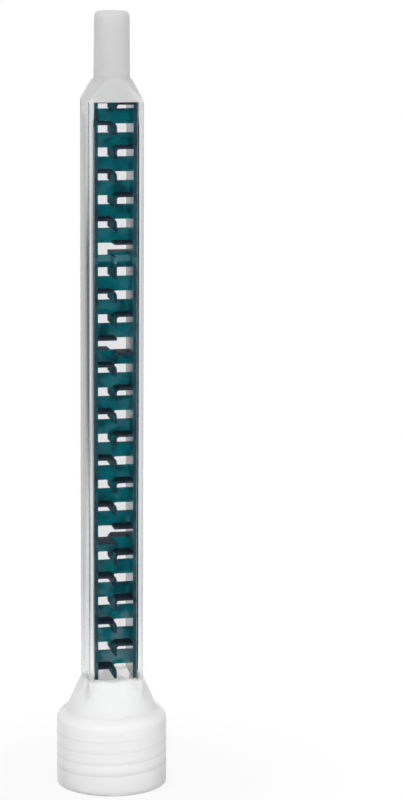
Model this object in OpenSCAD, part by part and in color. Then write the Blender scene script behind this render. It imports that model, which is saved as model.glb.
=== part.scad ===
// Disposable two-component static mixing nozzle, standing on its threaded skirt.
// A square moulded housing with a screw skirt and a round outlet tip holds two
// moulded mixing inserts, stacked end to end. Millimetres, +Z up, origin at the
// centre of the skirt's lower rim.

/* [Threaded skirt] */
// Bore of the skirt, which carries the screw thread
thread_d = 22.8; // [20:0.1:26]
// Depth of the threaded bore
thread_depth = 14.6; // [10:0.1:15]
// Lead-in chamfer at the mouth of the threaded bore
thread_lead_in = 0.5; // [0.2:0.1:0.8]
// Wall of the skirt
skirt_wall = 1.75; // [1.3:0.05:3]
// Height of the skirt's straight side
skirt_h = 15.3; // [15:0.1:22]
// Rounding of the skirt's lower outer edge
skirt_edge_r = 0.35; // [0.2:0.05:0.6]
// Radius of the rounded shoulder above the skirt
shoulder_r = 3.2; // [2.6:0.1:4]
// Width of the shoulder, from the skirt's side in to the flare
shoulder_w = 2.3; // [1.5:0.1:2.6]

/* [Flare] */
// Height of the flare, from the shoulder to the flat sides of the tube
flare_h = 9.7; // [8:0.1:16]
// Wall of the flare, measured level
flare_wall = 1.6; // [1.2:0.1:2.2]

/* [Square tube] */
// Length of the tube, from the flare to the neck
tube_h = 135.2; // [120:0.1:170]
// Wall of the tube
tube_wall = 1.4; // [1:0.05:2]
// Rounding of the tube's outer corners
tube_corner_r = 0.4; // [0.2:0.05:0.8]

/* [Neck and outlet tip] */
// Height of the neck that leads from the square tube to the round tip
neck_h = 5.3; // [3:0.1:9]
// Length of the outlet tip
tip_h = 15.2; // [8:0.1:30]
// Bore of the outlet
outlet_d = 5.4; // [4:0.1:7]
// Wall of the tip at its rim
tip_wall = 1.4; // [1:0.05:1.6]
// Growth of the tip's radius from the rim down to the neck
tip_draft = 0.15; // [0.05:0.05:0.4]
// Rounding of the tip's rim
tip_rim_r = 0.7; // [0.3:0.05:0.9]
// Width of the ledge in the channel's ceiling, at the middle of each side
ceiling_ledge = 0.6; // [0.3:0.05:1]

/* [Mixing inserts] */
// Side of the square inserts
insert_w = 10; // [9:0.1:12]
// Gap between an insert and each wall of the channel
side_clearance = 0.05; // [0.02:0.01:0.12]
// End play between the inserts and the channel's ceiling
end_clearance = 0.05; // [0.02:0.01:0.2]
// Rows of windows in both inserts together
rows = 24; // [20:1:30]
// Rows in the upper insert
upper_rows = 7; // [5:1:9]
// Rows that hold a flow inverter, counted from the outlet, below the upper insert
inverter_rows = [10, 18];
// Thickness of the two side walls
rail_t = 0.85; // [0.6:0.05:1.2]
// Thickness of the cross walls that part the flow front and back
cross_t = 0.7; // [0.5:0.05:1.2]
// Thickness of the leaves: level plates, bent down into the dividers between left and right
leaf_t = 0.6; // [0.4:0.05:1]
// Inner radius of the bend between a plate and its divider
bend_r = 0.6; // [0.2:0.05:1]
// Height of the windows
window_h = 2.1; // [1.6:0.05:3]
// Height of the windows in a flow inverter
inverter_h = 2.85; // [2.2:0.05:4]
// Height of the first windows, at the outlet
outlet_window_h = 1.2; // [0.8:0.05:2.5]
// Height of the end wall on top of the lower insert
end_wall_h = 2.9; // [2:0.05:4]
// Length of the divider and side walls below the last plates, at the inlet
inlet_h = 2.4; // [1.5:0.1:4]
// How far the inlet end of the inserts reaches down into the flare
inlet_reach = 1.4; // [1:0.1:3]
// How far a divider is rooted in the cross wall below it
divider_root = 0.2; // [0.1:0.05:0.4]

/* [Hidden] */
$fn = 96;
// Overlap by which a cut or a joined solid runs past its neighbour
sink = 1;
// Width left outside the tip's circle where the neck's flat sides end
neck_blend = 0.15;

channel_w = insert_w + 2 * side_clearance;
tube_w = channel_w + 2 * tube_wall;
skirt_r = thread_d / 2 + skirt_wall;
tip_r = outlet_d / 2 + tip_wall;
tip_base_r = tip_r + tip_draft;

// Flare: where it leaves the shoulder, and how it narrows
flare_r = skirt_r - shoulder_w;
flare_z = skirt_h + sqrt(pow(shoulder_r, 2) - pow(shoulder_r - shoulder_w, 2));
flare_top = flare_z + flare_h;
flare_slope = (flare_r - tube_w / 2) / flare_h;
function flare_outer(z) = flare_r - flare_slope * (z - flare_z);
function flare_inner(z) = flare_outer(z) - flare_wall;
function flare_inner_z(r) = flare_z + (flare_r - flare_wall - r) / flare_slope;

// Rows of the inserts, counted from the outlet; the last one is the inlet end
inlet_row = rows;
seam_row = upper_rows - 1;
head_row = upper_rows;
function is_inverter(k) = k == seam_row || len([for (i = inverter_rows) if (i == k) i]) > 0;
function inverters_above(k) = len([for (i = [0 : k]) if (i < k && is_inverter(i)) i]);
// The plates change sides at every row, except just below an inverter
function plate_side(k) = (k + inverters_above(k)) % 2 == 0 ? 1 : -1;
function head_h(k) = k == head_row ? end_wall_h : leaf_t;
function gap_h(k) = k == 0 ? outlet_window_h
    : k == inlet_row ? inlet_h
    : is_inverter(k) ? inverter_h
    : window_h;
// The cross walls share the height that plates and windows leave free in the channel
stack_h = tube_h + inlet_reach - end_clearance;
function open_h(k) = k > inlet_row ? 0 : head_h(k) + gap_h(k) + open_h(k + 1);
cross_h = (stack_h - open_h(0)) / (rows - 1);
function foot_h(k) = k == seam_row || k == inlet_row ? 0 : cross_h;
function row_h(k) = head_h(k) + gap_h(k) + foot_h(k);
function rows_h(k) = k > inlet_row ? 0 : row_h(k) + rows_h(k + 1);
inlet_z = flare_top - inlet_reach;
function row_z(k) = inlet_z + rows_h(k);

// Height of the bend at the end of a leaf
bend_drop = leaf_t + bend_r;

// Heights along the housing
tube_top = flare_top + tube_h;
neck_top = tube_top + neck_h;
tip_top = neck_top + tip_h;
tube_diagonal = norm([tube_w, tube_w]);
channel_diagonal = norm([channel_w, channel_w]);
flat_slope = (tube_w / 2 - tip_base_r - neck_blend) / neck_h;
corner_slope = (tube_diagonal / 2 - tip_base_r) / neck_h;

// Square outline with round corners
module rounded_square(w, r) {
    square([w - 2 * r, w], center = true);
    square([w, w - 2 * r], center = true);
    for (x = [-1, 1], y = [-1, 1])
        translate([x, y] * (w / 2 - r))
            circle(r);
}

// Skirt with a softened lower edge and the rounded shoulder on top
module skirt() {
    rotate_extrude() {
        square([skirt_r - skirt_edge_r, skirt_h]);
        translate([0, skirt_edge_r])
            square([skirt_r, skirt_h - skirt_edge_r]);
        translate([skirt_r - skirt_edge_r, skirt_edge_r])
            circle(skirt_edge_r);
        translate([0, skirt_h])
            square([skirt_r - shoulder_r, shoulder_r]);
        intersection() {
            translate([skirt_r - shoulder_r, skirt_h])
                circle(shoulder_r);
            translate([0, skirt_h - sink])
                square([skirt_r, shoulder_r + sink]);
        }
    }
}

// Cone between the shoulder and the tube, cut by the tube's flat sides into arches
module flare() {
    top = flare_top + sink;
    translate([0, 0, skirt_h])
        cylinder(h = top - skirt_h, r1 = flare_outer(skirt_h), r2 = flare_outer(top));
}

// Prism with sides that lean in, which gives the neck one pair of flat faces
module leaning_prism(top) {
    half_low = tube_w / 2 + flat_slope * tube_top;
    half_high = tube_w / 2 - flat_slope * (top - tube_top);
    rotate([90, 0, 0])
        linear_extrude(2 * tube_w, center = true)
            polygon([[-half_low, 0], [half_low, 0], [half_high, top], [-half_high, top]]);
}

// Square tube that closes in to the round tip: flat sides and conical corners
module tube_and_neck() {
    top = neck_top + sink;
    intersection() {
        translate([0, 0, flare_z])
            linear_extrude(top - flare_z)
                rounded_square(tube_w, tube_corner_r);
        leaning_prism(top);
        rotate(90)
            leaning_prism(top);
        cylinder(
            h = top,
            r1 = tube_diagonal / 2 + corner_slope * tube_top,
            r2 = tip_base_r - corner_slope * sink
        );
    }
}

// Round outlet tip with moulding draft and a soft rim
module tip() {
    side_h = tip_h + sink - tip_rim_r;
    low_r = tip_base_r + tip_draft * sink / tip_h;
    translate([0, 0, neck_top - sink])
        rotate_extrude() {
            polygon([[0, 0], [low_r, 0], [tip_r, side_h], [0, side_h]]);
            square([tip_r - tip_rim_r, tip_h + sink]);
            translate([tip_r - tip_rim_r, side_h])
                circle(tip_rim_r);
        }
}

// Flow path through the housing: thread bore, flare, square channel, funnel, outlet
module flow_path() {
    cone_low = thread_depth - sink;
    cone_high = flare_inner_z(outlet_d / 2);
    channel_low = flare_inner_z(channel_diagonal / 2 + side_clearance);
    funnel_r = channel_w / 2 - ceiling_ledge;
    funnel_slope = (funnel_r - outlet_d / 2) / neck_h;

    translate([0, 0, -sink])
        cylinder(h = thread_depth + sink, d = thread_d);
    translate([0, 0, -sink])
        cylinder(
            h = sink + thread_lead_in,
            r1 = thread_d / 2 + thread_lead_in + sink,
            r2 = thread_d / 2
        );
    translate([0, 0, cone_low])
        cylinder(h = cone_high - cone_low, r1 = flare_inner(cone_low), r2 = outlet_d / 2);
    translate([-channel_w / 2, -channel_w / 2, channel_low])
        cube([channel_w, channel_w, tube_top - channel_low]);
    translate([0, 0, tube_top - sink])
        cylinder(h = neck_h + sink, r1 = funnel_r + funnel_slope * sink, r2 = outlet_d / 2);
    translate([0, 0, tube_top])
        cylinder(h = tip_top - tube_top + sink, d = outlet_d);
}

// Clear moulded housing
module housing() {
    color([0.86, 0.88, 0.88, 0.5])
        difference() {
            union() {
                skirt();
                flare();
                tube_and_neck();
                tip();
            }
            flow_path();
        }
}

// Both side walls of an insert, from z_low to z_high
module side_walls(z_low, z_high) {
    for (side = [-1, 1])
        translate([side * (insert_w - rail_t) / 2, 0, (z_low + z_high) / 2])
            cube([rail_t, insert_w, z_high - z_low], center = true);
}

// Wall across the insert that parts front from back, from z_low to z_high
module cross_wall(z_low, z_high) {
    translate([0, 0, (z_low + z_high) / 2])
        cube([insert_w, cross_t, z_high - z_low], center = true);
}

// Wall along the insert that parts left from right, from z_low to z_high
module divider(z_low, z_high) {
    translate([0, 0, (z_low + z_high) / 2])
        cube([leaf_t, insert_w, z_high - z_low], center = true);
}

// Section of a leaf: a level plate out to the right, bent down at the middle of the insert
module leaf_section() {
    bend_x = leaf_t / 2 + bend_r;
    translate([bend_x, -leaf_t])
        square([insert_w / 2 - bend_x, leaf_t]);
    translate([bend_x, -bend_drop])
        intersection() {
            difference() {
                circle(bend_drop);
                circle(bend_r);
            }
            translate([-bend_drop, 0])
                square(bend_drop);
        }
}

// Leaf over one quarter of the channel, with its upper face at z_top
module leaf(side_x, side_y, z_top) {
    depth = (insert_w + cross_t) / 2;
    translate([0, side_y * (insert_w - depth) / 2, z_top])
        mirror([side_x < 0 ? 1 : 0, 0, 0])
            rotate([90, 0, 0])
                linear_extrude(depth, center = true)
                    leaf_section();
}

// Two leaves over opposite quarters: the front one lies on the given side
module leaf_pair(side_x, z_top) {
    leaf(side_x, -1, z_top);
    leaf(-side_x, 1, z_top);
}

// Flat plate over one quarter of the channel, with its upper face at z_top
module plate(side_x, side_y, z_top) {
    width = (insert_w + leaf_t) / 2;
    depth = (insert_w + cross_t) / 2;
    x = side_x * (insert_w - width) / 2;
    y = side_y * (insert_w - depth) / 2;
    translate([x, y, z_top - leaf_t / 2])
        cube([width, depth, leaf_t], center = true);
}

// Two flat plates over opposite quarters: the front one lies on the given side
module plate_pair(side_x, z_top) {
    plate(side_x, -1, z_top);
    plate(-side_x, 1, z_top);
}

// Row of windows whose leaves bend down into a divider, with a cross wall below
module mixing_row(k) {
    z_top = row_z(k);
    window_low = z_top - head_h(k) - gap_h(k);
    divider_low = k == inlet_row ? window_low : window_low - divider_root;

    if (k == head_row) {
        cross_wall(z_top - end_wall_h, z_top);
        divider(divider_low, z_top);
    } else {
        leaf_pair(plate_side(k), z_top);
        divider(divider_low, z_top - bend_drop);
    }
    if (foot_h(k) > 0)
        cross_wall(row_z(k + 1) - leaf_t, window_low);
}

// Row without a divider, where the flow changes sides between upper and lower plates
module inverter_row(k) {
    z_top = row_z(k);
    window_low = z_top - head_h(k) - gap_h(k);

    plate_pair(plate_side(k), z_top);
    if (k == seam_row) {
        plate(plate_side(k), 1, window_low + leaf_t);
    } else {
        leaf_pair(-plate_side(k), window_low);
        cross_wall(row_z(k + 1) - leaf_t, window_low);
    }
}

module row(k) {
    if (is_inverter(k))
        inverter_row(k);
    else
        mixing_row(k);
}

// Insert at the outlet end
module upper_insert() {
    color([0.02, 0.33, 0.37]) {
        side_walls(row_z(head_row), row_z(0));
        for (k = [0 : seam_row])
            row(k);
    }
}

// Insert at the inlet end, on which the upper one stands
module lower_insert() {
    color([0.02, 0.33, 0.37]) {
        side_walls(inlet_z, row_z(head_row));
        for (k = [head_row : inlet_row])
            row(k);
    }
}

housing();
upper_insert();
lower_insert();
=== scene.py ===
# %% [markdown]
# # Dressing a static mixing nozzle
# The real object is a disposable nozzle: a clear plastic housing with a screw skirt at its foot,
# a square tube and a round outlet tip, and two teal mixing inserts stacked inside the tube.
# The solids arrive as a fixed frame in metres, so this lesson adds only looks: a camera, finishes,
# the screw thread, soft edges, a floor and light. No solid is moved or resized.

# %% Load the frame and keep its box
import math

import bmesh
import bpy
from mathutils import Matrix, Vector


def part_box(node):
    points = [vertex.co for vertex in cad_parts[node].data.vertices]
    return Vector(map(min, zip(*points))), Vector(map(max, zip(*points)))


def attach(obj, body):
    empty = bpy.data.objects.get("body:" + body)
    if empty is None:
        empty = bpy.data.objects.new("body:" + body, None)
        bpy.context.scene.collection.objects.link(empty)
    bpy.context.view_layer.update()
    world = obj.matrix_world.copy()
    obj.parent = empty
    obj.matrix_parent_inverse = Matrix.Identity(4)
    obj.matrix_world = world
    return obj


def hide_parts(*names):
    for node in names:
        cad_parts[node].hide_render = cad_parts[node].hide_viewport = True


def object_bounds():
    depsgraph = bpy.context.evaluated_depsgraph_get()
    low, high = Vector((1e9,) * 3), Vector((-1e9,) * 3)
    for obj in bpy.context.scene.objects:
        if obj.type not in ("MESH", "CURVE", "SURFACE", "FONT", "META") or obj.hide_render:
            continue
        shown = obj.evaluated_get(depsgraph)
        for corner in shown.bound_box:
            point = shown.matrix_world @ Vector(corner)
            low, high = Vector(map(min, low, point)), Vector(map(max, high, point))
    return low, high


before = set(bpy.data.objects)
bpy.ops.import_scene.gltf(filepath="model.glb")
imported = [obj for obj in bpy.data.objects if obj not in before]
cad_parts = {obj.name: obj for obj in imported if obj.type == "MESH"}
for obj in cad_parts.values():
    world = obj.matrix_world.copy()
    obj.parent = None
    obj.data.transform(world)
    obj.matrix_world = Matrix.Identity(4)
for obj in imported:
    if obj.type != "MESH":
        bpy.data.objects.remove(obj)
cad_low, cad_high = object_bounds()
MM = 0.001
print("nodes:", sorted(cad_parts))
print("height in mm:", round((cad_high.z - cad_low.z) / MM, 2))

# %% [markdown]
# ## The camera
# The photograph looks at the nozzle from its left and from a little above, with a long lens.
# The nozzle stands left of the image's middle. A lens shift would put it there, but a shift follows
# the camera into every other view, so the camera is turned to the right instead. Turning a camera
# that looks down makes upright lines lean, and a small roll takes that lean out again.

# %% Camera place and aim
PHOTO_W = 403
PHOTO_H = 800
FOCAL_PX = 2774
MIDDLE_PX = (111.8, 404.7)
VIEW_AZIMUTH = math.radians(-9.7)
VIEW_ELEVATION = math.radians(10.4)
VIEW_DISTANCE = 0.653

middle = (cad_low + cad_high) / 2
towards_camera = Vector((
    math.sin(VIEW_AZIMUTH) * math.cos(VIEW_ELEVATION),
    -math.cos(VIEW_AZIMUTH) * math.cos(VIEW_ELEVATION),
    math.sin(VIEW_ELEVATION),
))
camera_place = middle + VIEW_DISTANCE * towards_camera
level_right = Vector((math.cos(VIEW_AZIMUTH), math.sin(VIEW_AZIMUTH), 0))
view_up = towards_camera.cross(level_right)
aside = (PHOTO_W / 2 - MIDDLE_PX[0]) / FOCAL_PX
above = (MIDDLE_PX[1] - PHOTO_H / 2) / FOCAL_PX
aim = middle + VIEW_DISTANCE * (aside * level_right + above * view_up)
roll = math.atan(aside * math.tan(VIEW_ELEVATION))
print("camera at", [round(value, 3) for value in camera_place])

# %% Camera
SENSOR = 36

camera_data = bpy.data.cameras.new("photo_camera")
camera_data.sensor_fit = "VERTICAL"
camera_data.sensor_height = SENSOR
camera_data.lens = FOCAL_PX * SENSOR / PHOTO_H
camera = bpy.data.objects.new("photo_camera", camera_data)
bpy.context.scene.collection.objects.link(camera)
turn = (aim - camera_place).to_track_quat("-Z", "Y").to_matrix().to_4x4()
camera.matrix_world = Matrix.Translation(camera_place) @ turn @ Matrix.Rotation(roll, 4, "Z")
bpy.context.scene.camera = camera
print("lens in mm:", round(camera_data.lens, 1), "roll in degrees:", round(math.degrees(roll), 2))

# %% [markdown]
# ## Helpers for finishes
# A finish could be painted on a picture, but pictures blur up close and need unwrapping. Here each
# finish is one Principled shader fed by small nodes. All of them read Object coordinates, which on
# these pieces are the part's own metres, so a pattern keeps its real size. The helpers below each
# add one node, so that a finish reads like a sum.

# %% Helpers: numbers


def feed(tree, socket, value):
    """Links a node's output to a socket, or sets the socket to a plain value."""
    if isinstance(value, bpy.types.NodeSocket):
        tree.links.new(value, socket)
    else:
        socket.default_value = value


def combine(tree, operation, *values):
    """A Math node on sockets or plain numbers."""
    node = tree.nodes.new("ShaderNodeMath")
    node.operation = operation
    for socket, value in zip(node.inputs, values):
        feed(tree, socket, value)
    return node.outputs["Value"]


def ramp(tree, value, low, high, first, last, kind="LINEAR"):
    """Goes from first to last while a value goes from low to high."""
    node = tree.nodes.new("ShaderNodeMapRange")
    node.interpolation_type = kind
    tree.links.new(value, node.inputs["Value"])
    names = ("From Min", "From Max", "To Min", "To Max")
    for name, number in zip(names, (low, high, first, last)):
        node.inputs[name].default_value = number
    return node.outputs["Result"]


def fade(tree, value, low, high, first, last):
    """The same as ramp, but it starts and ends gently."""
    return ramp(tree, value, low, high, first, last, kind="SMOOTHSTEP")


print("number helpers ready")

# %% Helpers: places, patterns and colours


def new_finish(name):
    """A node material: returns it with its tree and its Principled shader."""
    material = bpy.data.materials.new(name)
    material.use_nodes = True
    return material, material.node_tree, material.node_tree.nodes["Principled BSDF"]


def place_of(tree, stretch=(1, 1, 1)):
    """The point on the piece, in metres, stretched along the axes."""
    coordinates = tree.nodes.new("ShaderNodeTexCoord")
    mapping = tree.nodes.new("ShaderNodeMapping")
    mapping.inputs["Scale"].default_value = stretch
    tree.links.new(coordinates.outputs["Object"], mapping.inputs["Vector"])
    return mapping.outputs["Vector"]


def split(tree, place):
    """The X, Y and Z of a point or direction."""
    parts = tree.nodes.new("ShaderNodeSeparateXYZ")
    tree.links.new(place, parts.inputs["Vector"])
    return [parts.outputs[axis] for axis in "XYZ"]


def noise(tree, place, per_metre, detail=3):
    """Soft cloudy noise from 0 to 1, with a number of clouds per metre."""
    texture = tree.nodes.new("ShaderNodeTexNoise")
    texture.inputs["Scale"].default_value = per_metre
    texture.inputs["Detail"].default_value = detail
    tree.links.new(place, texture.inputs["Vector"])
    return texture.outputs["Fac"]


def two_tone(tree, share, first, second):
    """A colour between two colours, mixed by a share from 0 to 1."""
    mix = tree.nodes.new("ShaderNodeMix")
    mix.data_type = "RGBA"
    feed(tree, mix.inputs["Factor"], share)
    feed(tree, mix.inputs["A"], first)
    feed(tree, mix.inputs["B"], second)
    return mix.outputs["Result"]


def choose(tree, share, first, second):
    """The first shader where the share is 0, and the second where it is 1."""
    node = tree.nodes.new("ShaderNodeMixShader")
    tree.links.new(share, node.inputs["Fac"])
    tree.links.new(first, node.inputs[1])
    tree.links.new(second, node.inputs[2])
    return node.outputs["Shader"]


def relief(tree, shader, height, depth, sockets=("Normal",)):
    """Bump from a height value, with the depth of a height of 1 in metres."""
    bump = tree.nodes.new("ShaderNodeBump")
    bump.inputs["Strength"].default_value = 1
    bump.inputs["Distance"].default_value = depth
    tree.links.new(height, bump.inputs["Height"])
    for socket in sockets:
        tree.links.new(bump.outputs["Normal"], shader.inputs[socket])


print("pattern helpers ready")

# %% [markdown]
# ## Natural plastic of the housing
# The housing is one moulding of natural polypropylene. In the tube its wall is thin and polished,
# and as clear as glass. In the skirt, flare, neck and tip it is thick or matt, and looks milky.
# It could be made of three objects with three materials, but it is one piece, and cuts would show.
# So one finish has zones along the height. The flare clears up towards the tube, and the neck is
# milky at once. Where the plastic is milky, light scatters inside the wall: that is subsurface.

# %% Zones along the height
FLARE_MILKY = 25.8 * MM
FLARE_CLEAR = 27.2 * MM
WELD = 0.001 * MM
END_GAP = 0.05 * MM
TUBE_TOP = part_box("upper_insert")[1].z + END_GAP


def zones(tree, height, skirt, tube, tip):
    """One value for the skirt and flare, one for the tube and one for the neck and tip."""
    lower = fade(tree, height, FLARE_MILKY, FLARE_CLEAR, skirt, tube)
    upper = ramp(tree, height, TUBE_TOP - WELD, TUBE_TOP + WELD, 0, tip - tube)
    return combine(tree, "ADD", lower, upper)


print("tube from", round(FLARE_CLEAR / MM, 1), "to", round(TUBE_TOP / MM, 1), "mm")

# %% Milky plastic
PLASTIC_IOR = 1.49
SCATTER_DEPTH = 2 * MM
GRAINS_PER_M = 2500
SKIRT_ROUGH = 0.36
TUBE_ROUGH = 0.03
TIP_ROUGH = 0.4
UNEVEN = 0.08


def milky(shader):
    """The refraction and scattering that all natural plastic has."""
    shader.inputs["IOR"].default_value = PLASTIC_IOR
    shader.inputs["Subsurface Radius"].default_value = (1, 1, 1)
    shader.inputs["Subsurface Scale"].default_value = SCATTER_DEPTH


natural_plastic, tree, shader = new_finish("natural_plastic")
milky(shader)
place = place_of(tree)
x, y, z = split(tree, place)
in_tube = zones(tree, z, 0, 1, 0)
tree.links.new(zones(tree, z, 1, 0, 1), shader.inputs["Subsurface Weight"])
grain = noise(tree, place, GRAINS_PER_M, detail=2)
uneven = ramp(tree, grain, 0, 1, 1 - UNEVEN, 1 + UNEVEN)
matt = combine(tree, "MULTIPLY", zones(tree, z, SKIRT_ROUGH, TUBE_ROUGH, TIP_ROUGH), uneven)
tree.links.new(matt, shader.inputs["Roughness"])
print("finish:", natural_plastic.name)

# %% [markdown]
# ## How clear the housing is
# Transmission says how much light goes straight through. Two more things change it. The tube's
# walls beside the channel are hazy towards the foot, as the thick flare lights them up. And the
# haze is only in the skin: light that is already inside the wall gets out freely, and the inner
# side of the flare is clear. Without that, the space below the inserts would be dark.

# %% Clearness of the skin
HALF_CHANNEL = 5.05 * MM
HAZE_EDGE = 0.5 * MM
HAZE_TOP = 52 * MM
FOOT_HAZE = 0.45
MILKY_CLEAR = 0.25

across = combine(tree, "ABSOLUTE", x)
deep = combine(tree, "ABSOLUTE", y)
beside_channel = fade(tree, across, HALF_CHANNEL, HALF_CHANNEL + HAZE_EDGE, 0, FOOT_HAZE)
near_foot = fade(tree, z, FLARE_CLEAR, HAZE_TOP, 1, 0)
foot_haze = combine(tree, "MULTIPLY", combine(tree, "MULTIPLY", beside_channel, near_foot), in_tube)
clear = combine(tree, "SUBTRACT", zones(tree, z, MILKY_CLEAR, 1, MILKY_CLEAR), foot_haze)
print("clear share of the tube's foot walls:", 1 - FOOT_HAZE)

# %% Clearness from inside
INNER_HALF = 5.9 * MM
BORE_TOP = (19 * MM, 20 * MM)

inner = combine(tree, "LESS_THAN", combine(tree, "MAXIMUM", across, deep), INNER_HALF)
above_bore = ramp(tree, z, *BORE_TOP, 0, 1)
below_tube = fade(tree, z, FLARE_MILKY, FLARE_CLEAR, 1, 0)
inner_clear = combine(tree, "MULTIPLY", inner, combine(tree, "MULTIPLY", above_bore, below_tube))
clear = combine(tree, "MAXIMUM", clear, inner_clear)
side_hit = tree.nodes.new("ShaderNodeNewGeometry")
clear = combine(tree, "MAXIMUM", clear, side_hit.outputs["Backfacing"])
tree.links.new(clear, shader.inputs["Transmission Weight"])
print("clear inner side up to mm:", round(FLARE_CLEAR / MM, 1))

# %% [markdown]
# ## Tone of the housing
# Through the milky skirt the thread inside shows as soft slanted lines: each is dark at its lower
# edge and fades upwards. These lines are painted shade, the shade under each ridge. A plain ring
# above them is the end of the bore, painted as a ring of shade too. The thread itself is a piece of
# its own further down; it lies behind a scattering wall that blurs it away in a render, so its
# shade is also painted in the tone. A height minus a share of the turn gives a helix.

# %% Thread lines of painted shade
THREAD_PITCH = 2.75 * MM
THREAD_LOW = 2.8 * MM
LINES_START = (3.2 * MM, 4.2 * MM)
LINES_END = (12.8 * MM, 13.8 * MM)
THREAD_SHADE_DARK = 0.13
LINE_SHARE = 0.5

turn_share = combine(tree, "MULTIPLY", combine(tree, "ARCTAN2", y, x), 1 / math.tau)
turns_up = combine(tree, "DIVIDE", combine(tree, "SUBTRACT", z, THREAD_LOW), THREAD_PITCH)
groove = combine(tree, "FRACT", combine(tree, "SUBTRACT", turns_up, turn_share))
above_rim = fade(tree, z, *LINES_START, 0, 1)
below_end = fade(tree, z, *LINES_END, 1, 0)
in_thread = combine(tree, "MULTIPLY", above_rim, below_end)
# Painted shade: each thread line is dark at its lower edge and fades upwards.
thread_shade = combine(tree, "MULTIPLY", in_thread, fade(tree, groove, 0, LINE_SHARE, THREAD_SHADE_DARK, 0))
print("thread pitch in mm:", round(THREAD_PITCH / MM, 2))

# %% Tone
BORE_END = 15.6 * MM
END_LINE_TOP = 16.8 * MM
END_SHADE_DARK = 0.08
FOOT_TOP = 10 * MM
FOOT_SHADE_DARK = 0.16
SKIRT_TONE = 0.96
TUBE_TONE = 0.98
# Painted shade: the neck and tip are the same plastic as the skirt, drawn in a greyer tone.
TIP_SHADED_TONE = 0.68

# Painted shade: a dark ring just above the end of the bore, fading upwards.
over_end = combine(tree, "GREATER_THAN", z, BORE_END)
bore_end_shade = combine(tree, "MULTIPLY", over_end, ramp(tree, z, BORE_END, END_LINE_TOP, END_SHADE_DARK, 0))
# Painted shade: the skirt is drawn darker towards its foot.
foot_shade = fade(tree, z, 0, FOOT_TOP, FOOT_SHADE_DARK, 0)
shade = combine(tree, "ADD", combine(tree, "ADD", thread_shade, bore_end_shade), foot_shade)
tone = combine(tree, "SUBTRACT", zones(tree, z, SKIRT_TONE, TUBE_TONE, TIP_SHADED_TONE), shade)
tree.links.new(tone, shader.inputs["Base Color"])
print("end of the bore in mm:", round(BORE_END / MM, 1))

# %% [markdown]
# ## Form of the tube's sides, and grey in the wall
# A moulded side is never quite flat: it is crowned by less than a tenth of a millimetre and has
# long waves along the flow. Both are far too small for the mesh, but they bend reflections, so
# they are bump. The milky zones have a fine grain instead. Inside the plastic a weak grey
# absorption darkens walls that are seen edge-on, where the path through them is long.

# %% Sides
HALF_TUBE = 6.45 * MM
CROWN = 0.08 * MM
WAVE_STRETCH = (1, 1, 0.05)
WAVES_PER_M = 110
WAVE_SHARE = 0.8
SIDES_START = (FLARE_CLEAR, 32 * MM)
SIDES_END = (TUBE_TOP - 7 * MM, TUBE_TOP - 2 * MM)
GRAIN_SHARE = 0.02

wave = noise(tree, place_of(tree, WAVE_STRETCH), WAVES_PER_M, detail=1)
waves = combine(tree, "SUBTRACT", wave, 0.5)
off_centre = combine(tree, "ADD", combine(tree, "POWER", across, 2), combine(tree, "POWER", deep, 2))
crown = combine(tree, "SUBTRACT", 1, combine(tree, "DIVIDE", off_centre, HALF_TUBE ** 2))
side_form = combine(tree, "ADD", combine(tree, "MULTIPLY", waves, WAVE_SHARE), crown)
above_flare = fade(tree, z, *SIDES_START, 0, 1)
below_neck = fade(tree, z, *SIDES_END, 1, 0)
on_sides = combine(tree, "MULTIPLY", above_flare, below_neck)
form = combine(tree, "MULTIPLY", side_form, on_sides)
skin = combine(tree, "MULTIPLY", grain, zones(tree, z, GRAIN_SHARE, 0, GRAIN_SHARE))
relief(tree, shader, combine(tree, "ADD", form, skin), CROWN)
print("crown of the sides in mm:", round(CROWN / MM, 3))

# %% Grey in the wall
GREY_IN_WALL = (0.47, 0.5, 0.51, 1)
ABSORPTION = 55

grey = tree.nodes.new("ShaderNodeVolumeAbsorption")
grey.inputs["Color"].default_value = GREY_IN_WALL
grey.inputs["Density"].default_value = ABSORPTION
tree.links.new(grey.outputs["Volume"], tree.nodes["Material Output"].inputs["Volume"])
print("absorption per metre:", ABSORPTION)

# %% [markdown]
# ## Teal plastic of the inserts
# The inserts are moulded in a deep teal with a satin surface. The tops of the plates and the edges
# where the form ends at the housing get painted shade in an almost navy tone, and the two rails get
# painted shade in between. Those faces could be masked by a texture, but a second material slot on
# them is exact. The gloss is a weak coat: a plain Principled gloss turns to a mirror at a flat
# angle, and real satin doesn't.
# Only the inner sides of the rails look polished, as a mould's cores leave them. They get a third
# slot with a full gloss, and at a flat angle they mirror the white background, so that the windows
# look wider. A mould's draft crowns sides a little, and that is bump again, on the coat as well.
# The walls also have pale patches, painted reflections in the shape of flow marks. The patches
# are more and paler near the foot, as painted glints. A pale band at the top end of the lower
# insert, where the two inserts meet, is a painted highlight.

# %% Teal tones
TEAL_DEEP = (0.001, 0.125, 0.17, 1)
TEAL_LIGHT = (0.002, 0.27, 0.33, 1)
# Painted shade: the navy tones stand in for shade on plate tops, cut edges and rails.
SHADE_NAVY = (0.033, 0.049, 0.076, 1)
SHADE_NAVY_LIGHT = (0.041, 0.062, 0.093, 1)
CLOUDS_PER_M = 300
CLOUD_EDGE = (0.36, 0.56)
RAIL_INNER_X = 4.15 * MM
RAIL_SOFT = 0.05 * MM
RAIL_SHADE = 0.7

print("rails start at mm from the middle:", round(RAIL_INNER_X / MM, 2))

# %% Helper for painted sheen
SHEEN_PALE = (0.08, 0.4, 0.48, 1)
SHEEN_SHARE = 0.5
SHEEN_STRETCH = (1, 1, 1.6)
SHEENS_PER_M = 170
SHEEN_EDGE = (0.5, 0.66)
FOOT_GLINT_PALE = (0.32, 0.5, 0.54, 1)
FOOT_GLINT_REACH = (32 * MM, 62 * MM)
GLINT_EDGE = (0.42, 0.6)


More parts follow.
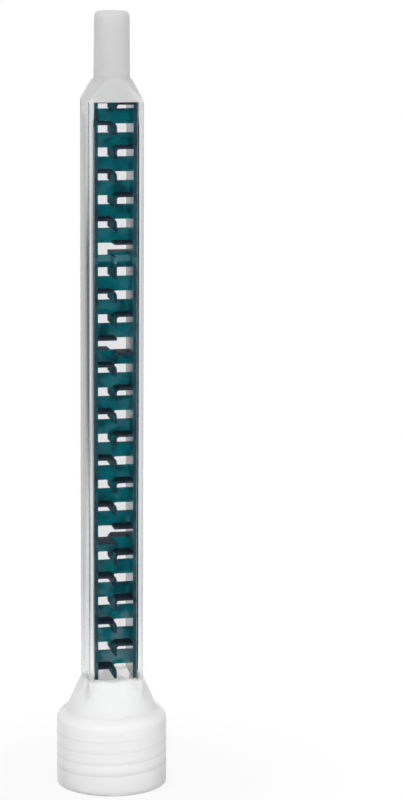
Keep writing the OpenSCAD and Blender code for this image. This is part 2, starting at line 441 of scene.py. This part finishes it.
def with_painted_sheen(tree, tone, z, share):
    """A tone with painted reflection patches shaped like flow marks, and painted glints near the foot.
    """
    sheen = noise(tree, place_of(tree, SHEEN_STRETCH), SHEENS_PER_M, detail=1)
    # Painted reflection: pale patches in the shape of flow marks.
    tone = two_tone(tree, fade(tree, sheen, *SHEEN_EDGE, 0, share), tone, SHEEN_PALE)
    # Painted glints: near the foot the walls are drawn paler and greyer.
    near_foot = fade(tree, z, *FOOT_GLINT_REACH, share, 0)
    glint = combine(tree, "MULTIPLY", near_foot, fade(tree, sheen, *GLINT_EDGE, 0, 1))
    return two_tone(tree, glint, tone, FOOT_GLINT_PALE)


print("share of flow marks:", SHEEN_SHARE)

# %% Helper for the joint's painted highlight
JOINT_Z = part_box("upper_insert")[0].z
JOINT_HIGHLIGHT = (0.16, 0.46, 0.55, 1)
JOINT_SHARE = 0.75
JOINT_EDGE = 0.1 * MM
JOINT_END = (1.3 * MM, 1.8 * MM)


def with_joint_highlight(tree, tone, z, rail_shade):
    """A tone with a painted highlight, a pale band below the joint of the inserts, but not on the
    rails.
    """
    below_joint = combine(tree, "SUBTRACT", JOINT_Z, z)
    # Painted highlight: a pale band just below the joint.
    highlight_band = ramp(tree, below_joint, 0, JOINT_EDGE, 0, JOINT_SHARE)
    highlight_band = combine(tree, "MULTIPLY", highlight_band, fade(tree, below_joint, *JOINT_END, 1, 0))
    highlight_band = combine(tree, "MULTIPLY", highlight_band, combine(tree, "SUBTRACT", 1, rail_shade))
    return two_tone(tree, highlight_band, tone, JOINT_HIGHLIGHT)


print("joint in mm:", round(JOINT_Z / MM, 2))

# %% Helper for insert finishes
SATIN = 0.15
CLOUD_MIDDLE = (0.3, 0.7)
INSERT_ROUGH = (0.3, 0.4)
HALF_INSERT = 5 * MM
DRAFT = 0.065 * MM
SKINS_PER_M = 5000
SKIN_SHARE = 0.015


def insert_finish(name, deep_tone, light_tone, sheen_share, gloss, shine=0):
    """Plastic in two close tones, painted darker on the rails as shade, with a coat and a slight
    draft.
    """
    material, tree, shader = new_finish(name)
    shader.inputs["Specular IOR Level"].default_value = shine
    shader.inputs["Coat Weight"].default_value = gloss
    shader.inputs["Coat Roughness"].default_value = SATIN
    place = place_of(tree)
    x, y, z = split(tree, place)
    cloud = noise(tree, place, CLOUDS_PER_M)
    tone = two_tone(tree, fade(tree, cloud, *CLOUD_EDGE, 0, 1), deep_tone, light_tone)
    tone = with_painted_sheen(tree, tone, z, sheen_share)
    across = combine(tree, "ABSOLUTE", x)
    # Painted shade: the rails are mixed towards the navy shade tone.
    rail_shade = ramp(tree, across, RAIL_INNER_X - RAIL_SOFT, RAIL_INNER_X + RAIL_SOFT, 0, RAIL_SHADE)
    tone = two_tone(tree, rail_shade, tone, SHADE_NAVY)
    tree.links.new(with_joint_highlight(tree, tone, z, rail_shade), shader.inputs["Base Color"])
    tree.links.new(ramp(tree, cloud, *CLOUD_MIDDLE, *INSERT_ROUGH), shader.inputs["Roughness"])
    drawn = combine(tree, "POWER", combine(tree, "DIVIDE", y, HALF_INSERT), 2)
    skin = combine(tree, "MULTIPLY", noise(tree, place, SKINS_PER_M), SKIN_SHARE)
    relief(tree, shader, combine(tree, "SUBTRACT", skin, drawn), DRAFT, ("Normal", "Coat Normal"))
    print("finish:", name)
    return material


# %% Insert finishes
TEAL_GLOSS = 0.08
SHADE_GLOSS = 0.15
FLANK_GLOSS = 1
FLANK_SHINE = 0.9

teal_plastic = insert_finish("teal_plastic", TEAL_DEEP, TEAL_LIGHT, SHEEN_SHARE, TEAL_GLOSS)
# Painted shade: a navy copy of the teal plastic for plate tops and cut edges.
painted_shade_edges = insert_finish("painted_shade_edges", SHADE_NAVY, SHADE_NAVY_LIGHT, 0, SHADE_GLOSS)
rail_flanks = insert_finish("rail_flanks", TEAL_DEEP, TEAL_LIGHT, 0, FLANK_GLOSS, FLANK_SHINE)

# %% [markdown]
# ## Welded copies of the solids
# A solid comes in as loose triangles, so its edges can't be softened or shaded smoothly. Its own
# mesh is left alone. A copy is welded, its flat triangles are joined to whole sides, and only
# edges that turn sharply stay sharp.

# %% Helpers for pieces
FLAT = math.radians(0.5)
SHARP = math.radians(20)


def welded(node, dist=WELD):
    """A bmesh of a node's solid, with its points merged and its triangles joined."""
    bm = bmesh.new()
    bm.from_mesh(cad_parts[node].data)
    bmesh.ops.remove_doubles(bm, verts=bm.verts, dist=dist)
    bmesh.ops.dissolve_limit(bm, angle_limit=FLAT, verts=bm.verts, edges=bm.edges)
    return bm


def add_piece(bm, name, slot, *materials):
    """Makes an object from a bmesh, smooth but for its sharp edges, riding on the part."""
    mesh = bpy.data.meshes.new(name)
    bm.to_mesh(mesh)
    bm.free()
    mesh.shade_smooth()
    mesh.set_sharp_from_angle(angle=SHARP)
    for material in materials:
        mesh.materials.append(material)
    piece = bpy.data.objects.new(name, mesh)
    bpy.context.scene.collection.objects.link(piece)
    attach(piece, "root")
    print(name, "has", len(mesh.polygons), "faces")
    return piece


# %% [markdown]
# ## The housing
# The welded copy keeps the solid's form. Its flat sides meet small roundings, and smooth shading
# would bend each flat side like a lens, so that the inserts behind it look warped. Splitting the
# edges would make the roundings look faceted. Weighted normals let the large faces win instead.
# The tip's lip is rounder than in the solid: it is cut into a few rings, and each ring is drawn in
# to a quarter circle. A bevel can't do that, because the solid already has a smaller rounding there.

# %% Lip of the tip
LIP_R = 1.3 * MM
LIP_RINGS = 8

bm = welded("housing")
lip_low = cad_high.z - LIP_R
for ring in range(LIP_RINGS):
    height = lip_low + LIP_R * math.sin(math.pi / 2 * ring / LIP_RINGS)
    everything = [*bm.verts, *bm.edges, *bm.faces]
    bmesh.ops.bisect_plane(bm, geom=everything, dist=WELD, plane_co=(0, 0, height), plane_no=(0, 0, 1))
rings = {}
for vert in bm.verts:
    if vert.co.z > lip_low - WELD:
        rings.setdefault(round(vert.co.z / WELD), []).append(vert)
tip_r = max(vert.co.xy.length for vert in rings[min(rings)])
for ring in rings.values():
    up = min(max(ring[0].co.z - lip_low, 0), LIP_R)
    widest = tip_r - LIP_R + math.sqrt(LIP_R ** 2 - up ** 2)
    outer = [vert for vert in ring if vert.co.xy.length > widest]
    if outer:
        shrunk = widest / outer[0].co.xy.length
        bmesh.ops.scale(bm, vec=(shrunk, shrunk, 1), verts=outer)
print("tip radius in mm:", round(tip_r / MM, 2), "rings on the lip:", len(rings))

# %% Housing
FLAT_WEIGHT = 50

housing = add_piece(bm, "clear_housing", "clear_housing", natural_plastic)
flat_sides = housing.modifiers.new("flat sides", "WEIGHTED_NORMAL")
flat_sides.weight = FLAT_WEIGHT
flat_sides.keep_sharp = True
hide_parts("housing")

# %% [markdown]
# ## The screw thread
# The skirt's bore carries a coarse right-hand thread that holds it on a cartridge. A boolean cut
# along a helix is slow and leaves slivers. Instead one profile face is turned around the axis and
# lifted by the pitch at each turn: a spin with an offset. Its root is sunk into the wall, and its
# ends run out into the wall over a quarter turn, as they do in a mould.

# %% Turned thread
ROOT_R = 11.5 * MM
CREST_R = 10.65 * MM
ROOT_W = 1.5 * MM
CREST_W = 0.5 * MM
THREAD_TURNS = 3.75
STEPS_PER_TURN = 72

bm = bmesh.new()
steps = round(THREAD_TURNS * STEPS_PER_TURN)
profile = [
    (ROOT_R, -ROOT_W / 2),
    (CREST_R, -CREST_W / 2),
    (CREST_R, CREST_W / 2),
    (ROOT_R, ROOT_W / 2),
]
face = bm.faces.new([bm.verts.new((r, 0, THREAD_LOW + up)) for r, up in profile])
bmesh.ops.spin(
    bm,
    geom=[face, *face.edges, *face.verts],
    axis=(0, 0, 1),
    cent=(0, 0, 0),
    dvec=(0, 0, THREAD_PITCH / STEPS_PER_TURN),
    angle=math.tau * THREAD_TURNS,
    steps=steps,
)
print("turned thread has", len(bm.faces), "faces")

# %% Run-out of the thread
RUN_OUT = 18
LEAST_HEIGHT = 0.1

bm.verts.index_update()
for vert in bm.verts:
    ring = vert.index // len(profile)
    height_share = min(1, LEAST_HEIGHT + min(ring, steps - ring) / RUN_OUT)
    radius = math.hypot(vert.co.x, vert.co.y)
    shrunk = ROOT_R + (radius - ROOT_R) * height_share
    bmesh.ops.scale(bm, vec=(shrunk / radius, shrunk / radius, 1), verts=[vert])
bmesh.ops.recalc_face_normals(bm, faces=bm.faces)
open_edges = sum(not edge.is_manifold for edge in bm.edges)
print("thread in mm3:", round(bm.calc_volume(signed=True) / MM ** 3, 1), "open edges:", open_edges)

# %% Thread finish and piece
THREAD_DEEP = (0.9, 0.9, 0.9, 1)
THREAD_LIGHT = (0.94, 0.94, 0.94, 1)
THREAD_ROUGH = (0.33, 0.39)
THREAD_GRAIN = 0.002 * MM

thread_plastic, tree, shader = new_finish("thread_plastic")
milky(shader)
shader.inputs["Subsurface Weight"].default_value = 1
grain = noise(tree, place_of(tree), GRAINS_PER_M, detail=2)
white_tone = two_tone(tree, grain, THREAD_DEEP, THREAD_LIGHT)
tree.links.new(white_tone, shader.inputs["Base Color"])
tree.links.new(ramp(tree, grain, 0, 1, *THREAD_ROUGH), shader.inputs["Roughness"])
relief(tree, shader, grain, THREAD_GRAIN)
add_piece(bm, "skirt_thread", "clear_housing", thread_plastic)

# %% [markdown]
# ## The mixing inserts
# The inserts keep the solid's form. Their front is one flat face from rail to rail after welding,
# so it is cut at the rails first. Then plate tops and cut edges take the navy slot of painted shade,
# and the rails' inner sides the polished one. A bevel modifier gives every edge the small radius that
# a mould leaves, and it stays editable. Its clamp would hold the whole piece to the radius that fits
# the shortest edge, so the tiniest edges are merged away and the clamp is off.

# %% Helpers for the slots of faces
LEVEL = 0.8
UPRIGHT = 0.9
NEAR = 0.1 * MM
TEAL_SLOT = 0
SHADE_SLOT = 1
FLANK_SLOT = 2


def in_painted_shade(face, half_depth):
    """Tells plate tops and cut edges, which are painted in navy shade, from walls and rails."""
    centre = face.calc_center_median()
    top = face.normal.z > LEVEL
    at_front = abs(centre.y) > half_depth - NEAR
    cut_edge = at_front and abs(face.normal.y) > UPRIGHT
    return (top or cut_edge) and abs(centre.x) < RAIL_INNER_X


def is_flank(face):
    """Tells the inner sides of the rails from everything else."""
    off_rail = abs(face.calc_center_median().x) - RAIL_INNER_X
    return abs(off_rail) < NEAR and abs(face.normal.x) > UPRIGHT


def slot_of(face, half_depth):
    """The material slot that suits a face."""
    if is_flank(face):
        return FLANK_SLOT
    return SHADE_SLOT if in_painted_shade(face, half_depth) else TEAL_SLOT


print("slots:", TEAL_SLOT, SHADE_SLOT, FLANK_SLOT)

# %% Inserts
EDGE_R = 0.045 * MM
EDGE_STEPS = 2
EDGE_ANGLE = math.radians(40)
TINY = 0.03 * MM

for node in ("upper_insert", "lower_insert"):
    bm = welded(node, TINY)
    for side in (-1, 1):
        everything = [*bm.verts, *bm.edges, *bm.faces]
        rail_side = (side * RAIL_INNER_X, 0, 0)
        bmesh.ops.bisect_plane(bm, geom=everything, dist=WELD, plane_co=rail_side, plane_no=(1, 0, 0))
    bmesh.ops.remove_doubles(bm, verts=bm.verts, dist=TINY)
    bm.normal_update()
    half_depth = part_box(node)[1].y
    for face in bm.faces:
        # Painted shade: plate tops and cut edges take the navy slot.
        face.material_index = slot_of(face, half_depth)
    slots = [face.material_index for face in bm.faces]
    print(node, "navy faces:", slots.count(SHADE_SLOT), "rail flanks:", slots.count(FLANK_SLOT))
    insert = add_piece(bm, "teal_" + node, "teal_insert", teal_plastic, painted_shade_edges, rail_flanks)
    soft = insert.modifiers.new("moulded edges", "BEVEL")
    soft.width = EDGE_R
    soft.segments = EDGE_STEPS
    soft.limit_method = "ANGLE"
    soft.angle_limit = EDGE_ANGLE
    soft.use_clamp_overlap = False
    soft.harden_normals = True
    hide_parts(node)

# %% [markdown]
# ## The floor
# The nozzle stands on a white table that runs into a white background. A large floor would throw
# so much light up that the skirt looks flat, so the floor is a small disc. To the camera, and
# through the plastic, it is white; close to the skirt it keeps some of its own shaded grey, and
# that is the contact shadow. The tube doesn't mirror it, because its edge would show in the sides.

# %% Floor
FLOOR_R = 0.075
FLOOR_SIDES = 96
FLOOR_GREY = (0.8, 0.8, 0.8, 1)
WHITE = (1, 1, 1, 1)

bm = bmesh.new()
bmesh.ops.create_circle(bm, cap_ends=True, radius=FLOOR_R, segments=FLOOR_SIDES)
floor_mesh = bpy.data.meshes.new("floor")
bm.to_mesh(floor_mesh)
bm.free()
floor = bpy.data.objects.new("floor", floor_mesh)
bpy.context.scene.collection.objects.link(floor)
print("floor radius in mm:", FLOOR_R / MM)

# %% Floor finish
SHADOW_REACH = (0.02, 0.07)
SHADOW_WHITE = 0.8

pale_floor, tree, shader = new_finish("pale_floor")
shader.inputs["Base Color"].default_value = FLOOR_GREY
shader.inputs["Specular IOR Level"].default_value = 0
path = tree.nodes.new("ShaderNodeLightPath")
seen = combine(tree, "MAXIMUM", path.outputs["Is Camera Ray"], path.outputs["Is Glossy Ray"])
seen = combine(tree, "MAXIMUM", seen, path.outputs["Is Transmission Ray"])
floor_x, floor_y = split(tree, place_of(tree))[:2]
across_floor = combine(tree, "POWER", floor_x, 2)
along_floor = combine(tree, "POWER", floor_y, 2)
away = combine(tree, "SQRT", combine(tree, "ADD", across_floor, along_floor))
white_share = combine(tree, "MULTIPLY", seen, fade(tree, away, *SHADOW_REACH, SHADOW_WHITE, 1))

white = tree.nodes.new("ShaderNodeEmission")
white.inputs["Color"].default_value = WHITE
whitened = choose(tree, white_share, shader.outputs["BSDF"], white.outputs["Emission"])
unseen = tree.nodes.new("ShaderNodeBsdfTransparent")
shiny = combine(tree, "GREATER_THAN", path.outputs["Glossy Depth"], 0.5)
surface = choose(tree, shiny, whitened, unseen.outputs["BSDF"])
tree.links.new(surface, tree.nodes["Material Output"].inputs["Surface"])
floor_mesh.materials.append(pale_floor)
print("finish:", pale_floor.name)

# %% [markdown]
# ## The light
# The photograph is lit softly and evenly. Lamps can't be aimed through clear plastic, because a
# renderer finds a lamp behind refraction only by chance, which gives grain. So the world itself
# is the light: soft white all round, with a wide soft box behind the camera, one opposite to it
# and a little more from above.

# %% World helpers
world = bpy.data.worlds.new("studio")
bpy.context.scene.world = world
world.use_nodes = True
tree = world.node_tree
tree.nodes.clear()
direction = tree.nodes.new("ShaderNodeTexCoord").outputs["Generated"]
x, y, z = split(tree, direction)


def surround(strength):
    """White light from all around, with a strength that may vary with direction."""
    node = tree.nodes.new("ShaderNodeBackground")
    node.inputs["Color"].default_value = WHITE
    feed(tree, node.inputs["Strength"], strength)
    return node.outputs["Background"]


print("world:", world.name)

# %% Soft light on surfaces
ALL_ROUND = 0.7
SOFT_BOX = 2.75
TOP_LIGHT = 0.4
BOX_EDGE = 0.85

towards = tree.nodes.new("ShaderNodeVectorMath")
towards.operation = "DOT_PRODUCT"
tree.links.new(direction, towards.inputs[0])
towards.inputs[1].default_value = towards_camera
beside_view = combine(tree, "ABSOLUTE", towards.outputs["Value"])
boxes_light = ramp(tree, beside_view, BOX_EDGE, 1, 0, SOFT_BOX)
from_above = ramp(tree, z, 0, 1, ALL_ROUND, ALL_ROUND + TOP_LIGHT)
soft_light = combine(tree, "ADD", boxes_light, from_above)
print("soft box strength:", SOFT_BOX)

# %% [markdown]
# What a shiny surface mirrors is a different matter from what lights it. In the photograph the
# side towards the camera is dark, so that the clear front of the tube doesn't veil the teal, and
# the background is white. A grey card behind on the left draws the dark streak on the tube's left
# side, at half height, and a narrow dark one straight behind keeps the veil off the tube's back.
# Rays that only pass through see plain white, as the camera does.

# %% What is mirrored
ROOM_DARK = 0.02
ROOM_WHITE = 1.1
ROOM_EDGE = (0.68, 0.84)
BEHIND_EDGE = (0.05, 0.08)
CARD_DARK = 0.92
CARD_LOW = (-0.23, -0.18)
CARD_HIGH = (-0.13, -0.1)
CARD_SIDE = (-0.21, -0.15)
CARD_REST = 0.15

room = ramp(tree, y, *ROOM_EDGE, ROOM_DARK, ROOM_WHITE)
behind = fade(tree, combine(tree, "ABSOLUTE", x), *BEHIND_EDGE, CARD_DARK, 0)
card = fade(tree, z, *CARD_LOW, 0, CARD_DARK)
card = combine(tree, "MULTIPLY", card, fade(tree, z, *CARD_HIGH, 1, CARD_REST))
card = combine(tree, "MULTIPLY", card, fade(tree, x, *CARD_SIDE, 1, 0))
cards = combine(tree, "MAXIMUM", card, behind)
mirrored = combine(tree, "MULTIPLY", room, combine(tree, "SUBTRACT", 1, cards))
print("mirrored white:", ROOM_WHITE, "and dark:", ROOM_DARK)

# %% The whole world
path = tree.nodes.new("ShaderNodeLightPath")
lit = combine(tree, "GREATER_THAN", path.outputs["Diffuse Depth"], 0.5)
shiny = combine(tree, "GREATER_THAN", path.outputs["Glossy Depth"], 0.5)
seen = choose(tree, shiny, surround(1), surround(mirrored))
everything = choose(tree, lit, seen, surround(soft_light))
output = tree.nodes.new("ShaderNodeOutputWorld")
tree.links.new(everything, output.inputs["Surface"])
bpy.context.scene.view_settings.view_transform = "Standard"
print("view transform:", bpy.context.scene.view_settings.view_transform)
